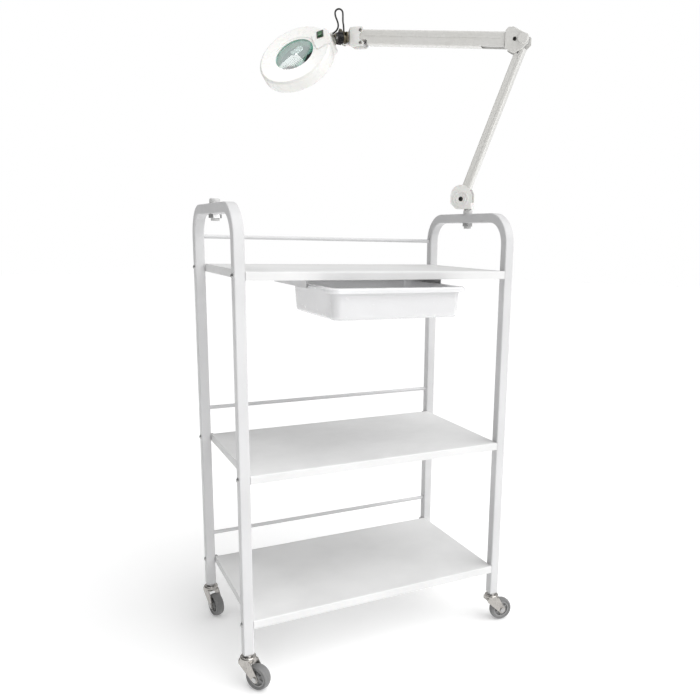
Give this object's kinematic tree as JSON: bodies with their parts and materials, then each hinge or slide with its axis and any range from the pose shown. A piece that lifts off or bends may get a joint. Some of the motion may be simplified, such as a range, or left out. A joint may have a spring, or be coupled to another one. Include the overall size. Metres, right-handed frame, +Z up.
{
  "type": "rolling salon trolley",
  "caption": "White three-shelf rolling salon trolley with square-tube side frames, swivel casters, a slide-out tub drawer and a magnifier lamp on a jointed arm.",
  "frame": {"origin": "on the floor under the middle of the trolley", "axes": "+X right seen from the drawer side, +Y to the back, +Z up"},
  "size_m": [0.6691, 0.5861, 1.3427],
  "materials": {
    "shelf_steel": "satin powder coat",
    "frame_steel": "satin powder coat",
    "zinc_steel": "zinc plated",
    "white_plastic": "fine grain",
    "gloss_white_plastic": "polished",
    "lamp_plastic": "semi gloss",
    "lamp_enamel": "gloss enamel",
    "dark_screw": "blackened",
    "black_plastic": "fine grain",
    "dark_metal": "bronzed",
    "spring_steel": "drawn wire",
    "lens_glass": "polished",
    "tube_glass": "frosted",
    "diffuser_plastic": "translucent",
    "switch_black": "moulded",
    "switch_green": "translucent",
    "cable_rubber": "matt",
    "caster_chrome": "bright zinc",
    "grey_plastic": "moulded",
    "tyre_grey": "smooth"
  },
  "bodies": {
    "trolley": {"left_side_frame": "frame_steel", "right_side_frame": "frame_steel", "top_shelf": "shelf_steel", "middle_shelf": "shelf_steel", "bottom_shelf": "shelf_steel", "rear_rails": "frame_steel", "shelf_bolts": "zinc_steel", "frame_nuts": "zinc_steel", "leg_plugs": "white_plastic", "caster_stems": "zinc_steel", "drawer_runners": "frame_steel", "runner_screws": "zinc_steel", "lamp_bushes": "white_plastic"},
    "drawer": {"drawer_tub": "gloss_white_plastic"},
    "front_left_caster": {"front_left_caster_fork": "caster_chrome", "front_left_caster_axle": "zinc_steel"},
    "rear_left_caster": {"rear_left_caster_fork": "caster_chrome", "rear_left_caster_axle": "zinc_steel"},
    "front_right_caster": {"front_right_caster_fork": "caster_chrome", "front_right_caster_axle": "zinc_steel"},
    "rear_right_caster": {"rear_right_caster_fork": "caster_chrome", "rear_right_caster_axle": "zinc_steel"},
    "front_left_wheel": {"front_left_wheel_hub": "grey_plastic", "front_left_tyre": "tyre_grey"},
    "rear_left_wheel": {"rear_left_wheel_hub": "grey_plastic", "rear_left_tyre": "tyre_grey"},
    "front_right_wheel": {"front_right_wheel_hub": "grey_plastic", "front_right_tyre": "tyre_grey"},
    "rear_right_wheel": {"rear_right_wheel_hub": "grey_plastic", "rear_right_tyre": "tyre_grey"},
    "lamp_base": {"lamp_pin": "zinc_steel", "base_covers": "lamp_plastic", "base_bolt": "dark_screw"},
    "base_knob": {"base_knob": "black_plastic"},
    "lower_arm": {"lower_arm_tube": "lamp_enamel", "lower_arm_lugs": "zinc_steel"},
    "elbow": {"elbow_plates": "lamp_enamel", "elbow_bolt": "lamp_plastic", "elbow_pins": "dark_screw"},
    "upper_arm": {"upper_arm_cover": "lamp_enamel", "upper_arm_rod": "zinc_steel", "upper_arm_spring": "spring_steel"},
    "upper_link": {"upper_arm_link": "zinc_steel"},
    "arm_end": {"arm_end_cap": "lamp_plastic", "arm_end_pins": "dark_screw"},
    "head_swivel": {"swivel_bracket": "dark_metal", "head_stud": "zinc_steel"},
    "head_knob": {"head_knob": "black_plastic"},
    "tilt_block": {"tilt_block": "lamp_plastic", "lamp_cable": "cable_rubber"},
    "head": {"head_bracket": "lamp_enamel", "head_pin": "dark_screw", "head_cover": "lamp_plastic", "head_base": "lamp_plastic", "lens": "lens_glass", "lens_ring": "lamp_plastic", "lamp_tube": "tube_glass", "diffuser_ring": "diffuser_plastic", "switch_housing": "switch_black"},
    "rocker": {"rocker_switch": "switch_green"}
  },
  "joints": [
    {"name": "front_left_swivel", "type": "hinge", "parent": "trolley", "child": "front_left_caster", "pos_m": [-0.277, -0.1573, 0.06], "axis": [0, 0, 1], "continuous": true},
    {"name": "front_left_roll", "type": "hinge", "parent": "front_left_caster", "child": "front_left_wheel", "pos_m": [-0.26316, -0.17567, 0.025], "axis": [0.7986, 0.6018, 0], "continuous": true},
    {"name": "rear_left_swivel", "type": "hinge", "parent": "trolley", "child": "rear_left_caster", "pos_m": [-0.277, 0.1573, 0.06], "axis": [0, 0, 1], "continuous": true},
    {"name": "rear_left_roll", "type": "hinge", "parent": "rear_left_caster", "child": "rear_left_wheel", "pos_m": [-0.27183, 0.13489, 0.025], "axis": [0.9744, 0.225, 0], "continuous": true},
    {"name": "front_right_swivel", "type": "hinge", "parent": "trolley", "child": "front_right_caster", "pos_m": [0.277, -0.1573, 0.06], "axis": [0, 0, 1], "continuous": true},
    {"name": "front_right_roll", "type": "hinge", "parent": "front_right_caster", "child": "front_right_wheel", "pos_m": [0.29972, -0.1609, 0.025], "axis": [0.1564, 0.9877, 0], "continuous": true},
    {"name": "rear_right_swivel", "type": "hinge", "parent": "trolley", "child": "rear_right_caster", "pos_m": [0.277, 0.1573, 0.06], "axis": [0, 0, 1], "continuous": true},
    {"name": "rear_right_roll", "type": "hinge", "parent": "rear_right_caster", "child": "rear_right_wheel", "pos_m": [0.29692, 0.1458, 0.025], "axis": [0.5, 0.866, 0], "continuous": true},
    {"name": "drawer_slide", "type": "slide", "parent": "trolley", "child": "drawer", "axis": [0, -1, 0], "range_m": [-0.066, 0.08]},
    {"name": "lamp_swivel", "type": "hinge", "parent": "trolley", "child": "lamp_base", "pos_m": [0.277, 0, 0.89], "axis": [0, 0, 1], "continuous": true},
    {"name": "base_knob_turn", "type": "hinge", "parent": "lamp_base", "child": "base_knob", "pos_m": [0.28235, 0.02359, 0.9336], "axis": [0.7314, 0.682, 0], "range_deg": [-180, 180]},
    {"name": "lower_arm_tilt", "type": "hinge", "parent": "lamp_base", "child": "lower_arm", "pos_m": [0.26772, 0.00995, 0.9336], "axis": [0.7314, 0.682, 0], "range_deg": [-45, 20]},
    {"name": "elbow_tilt", "type": "hinge", "parent": "lower_arm", "child": "elbow", "pos_m": [0.35166, -0.08006, 1.2559], "axis": [-0.7314, -0.682, 0], "range_deg": [-35, 3.5]},
    {"name": "upper_arm_tilt", "type": "hinge", "parent": "elbow", "child": "upper_arm", "pos_m": [0.33802, -0.06544, 1.2689], "axis": [-0.7314, -0.682, 0], "range_deg": [-25, 30], "deforming": ["upper_arm_spring"]},
    {"name": "upper_link_turn", "type": "hinge", "parent": "elbow", "child": "upper_link", "pos_m": [0.33802, -0.06544, 1.2429], "axis": [-0.7314, -0.682, 0], "range_deg": [-25, 30]},
    {"name": "arm_end_level", "type": "hinge", "parent": "upper_arm", "child": "arm_end", "pos_m": [0.10304, 0.18655, 1.29451], "axis": [-0.7314, -0.682, 0], "range_deg": [-30, 25]},
    {"name": "head_swivel_turn", "type": "hinge", "parent": "arm_end", "child": "head_swivel", "pos_m": [0.0724, 0.21941, 1.2815], "axis": [0, 0, 1], "range_deg": [-105, 5]},
    {"name": "head_knob_turn", "type": "hinge", "parent": "head_swivel", "child": "head_knob", "pos_m": [0.0566, 0.198, 1.276], "axis": [-1, 0, 0], "range_deg": [-180, 180]},
    {"name": "head_tilt", "type": "hinge", "parent": "head_swivel", "child": "tilt_block", "pos_m": [0.0616, 0.198, 1.276], "axis": [1, 0, 0], "range_deg": [-30, 30]},
    {"name": "head_flip", "type": "hinge", "parent": "tilt_block", "child": "head", "pos_m": [0.0586, 0.228, 1.2845], "axis": [0, 0.7302, 0.6833], "range_deg": [-35, 25], "deforming": ["lamp_cable"]},
    {"name": "rocker_press", "type": "hinge", "parent": "head", "child": "rocker", "pos_m": [0.02211, 0.24156, 1.28904], "axis": [0.7509, -0.5966, 0.2834], "range_deg": [0, 12]}
  ],
  "couplings": [
    {"joint": "upper_link_turn", "follows": "upper_arm_tilt", "ratio": 1},
    {"joint": "arm_end_level", "follows": "upper_arm_tilt", "ratio": -1}
  ]
}
